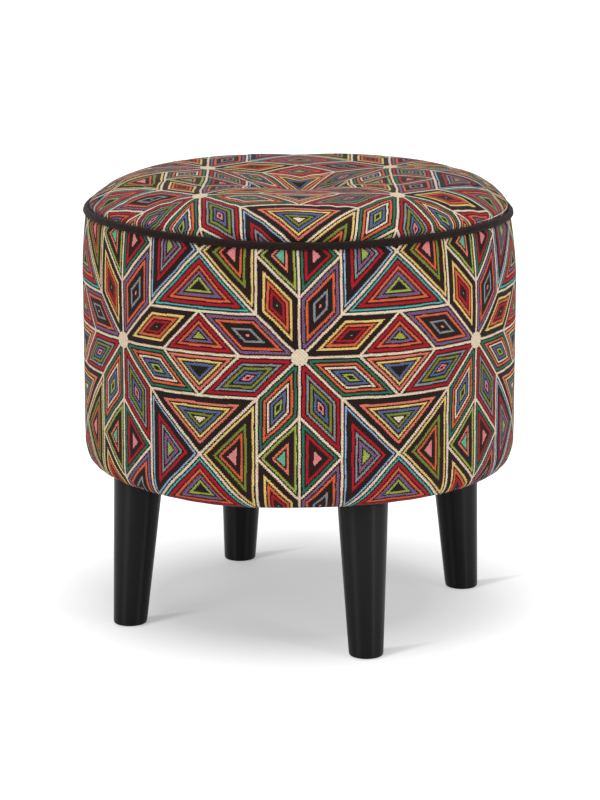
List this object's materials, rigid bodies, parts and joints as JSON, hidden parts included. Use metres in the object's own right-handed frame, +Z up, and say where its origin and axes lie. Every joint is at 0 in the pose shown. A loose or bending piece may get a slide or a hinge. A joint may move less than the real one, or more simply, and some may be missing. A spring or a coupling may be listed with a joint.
{
  "type": "tuffet",
  "caption": "Round upholstered tuffet: crowned, tufted seat with a piped edge, patterned cloth sides and splayed, tapered black legs.",
  "frame": {"origin": "on the floor, under the middle of the seat", "axes": "+Z up; the legs stand on the diagonals between X and Y; the sewn and butted joints of the wrapped sheets are at +Y, the back"},
  "size_m": [0.4348, 0.4348, 0.4485],
  "materials": {
    "tapestry": "woven, matt, many-coloured geometric pattern",
    "piping": "woven, matt, dark brown",
    "black_wood": "black lacquer, satin",
    "plywood": "raw plywood",
    "pine": "raw softwood",
    "hardboard": "raw hardboard",
    "foam": "open-cell foam, matt",
    "wadding": "loose fibre, matt",
    "dust_cloth": "non-woven, matt",
    "steel": "zinc plated",
    "glide": "matt",
    "twine": "twisted cotton"
  },
  "bodies": {
    "root": {"base_board": "plywood", "base_screw_back": "steel", "base_screw_front": "steel", "base_screw_left": "steel", "base_screw_right": "steel", "dust_cover": "dust_cloth", "dust_cover_staple_1": "steel", "dust_cover_staple_10": "steel", "dust_cover_staple_11": "steel", "dust_cover_staple_12": "steel", "dust_cover_staple_2": "steel", "dust_cover_staple_3": "steel", "dust_cover_staple_4": "steel", "dust_cover_staple_5": "steel", "dust_cover_staple_6": "steel", "dust_cover_staple_7": "steel", "dust_cover_staple_8": "steel", "dust_cover_staple_9": "steel", "glide_back_left": "glide", "glide_back_right": "glide", "glide_front_left": "glide", "glide_front_right": "glide", "hanger_bolt_back_left": "steel", "hanger_bolt_back_right": "steel", "hanger_bolt_front_left": "steel", "hanger_bolt_front_right": "steel", "leg_back_left": "black_wood", "leg_back_right": "black_wood", "leg_front_left": "black_wood", "leg_front_right": "black_wood", "piping_cord": "twine", "piping_cover": "piping", "pronged_nut_back_left": "steel", "pronged_nut_back_right": "steel", "pronged_nut_front_left": "steel", "pronged_nut_front_right": "steel", "seat_board": "plywood", "seat_foam": "foam", "seat_screw_back": "steel", "seat_screw_front": "steel", "seat_screw_left": "steel", "seat_screw_right": "steel", "seat_wadding": "wadding", "side_cover": "tapestry", "side_foam": "foam", "side_panel": "hardboard", "top_cover": "tapestry", "tuft_anchor": "pine", "tuft_button": "tapestry", "tuft_button_back": "steel", "tuft_twine": "twine", "upright_back": "pine", "upright_front": "pine", "upright_left": "pine", "upright_right": "pine"}
  },
  "joints": []
}
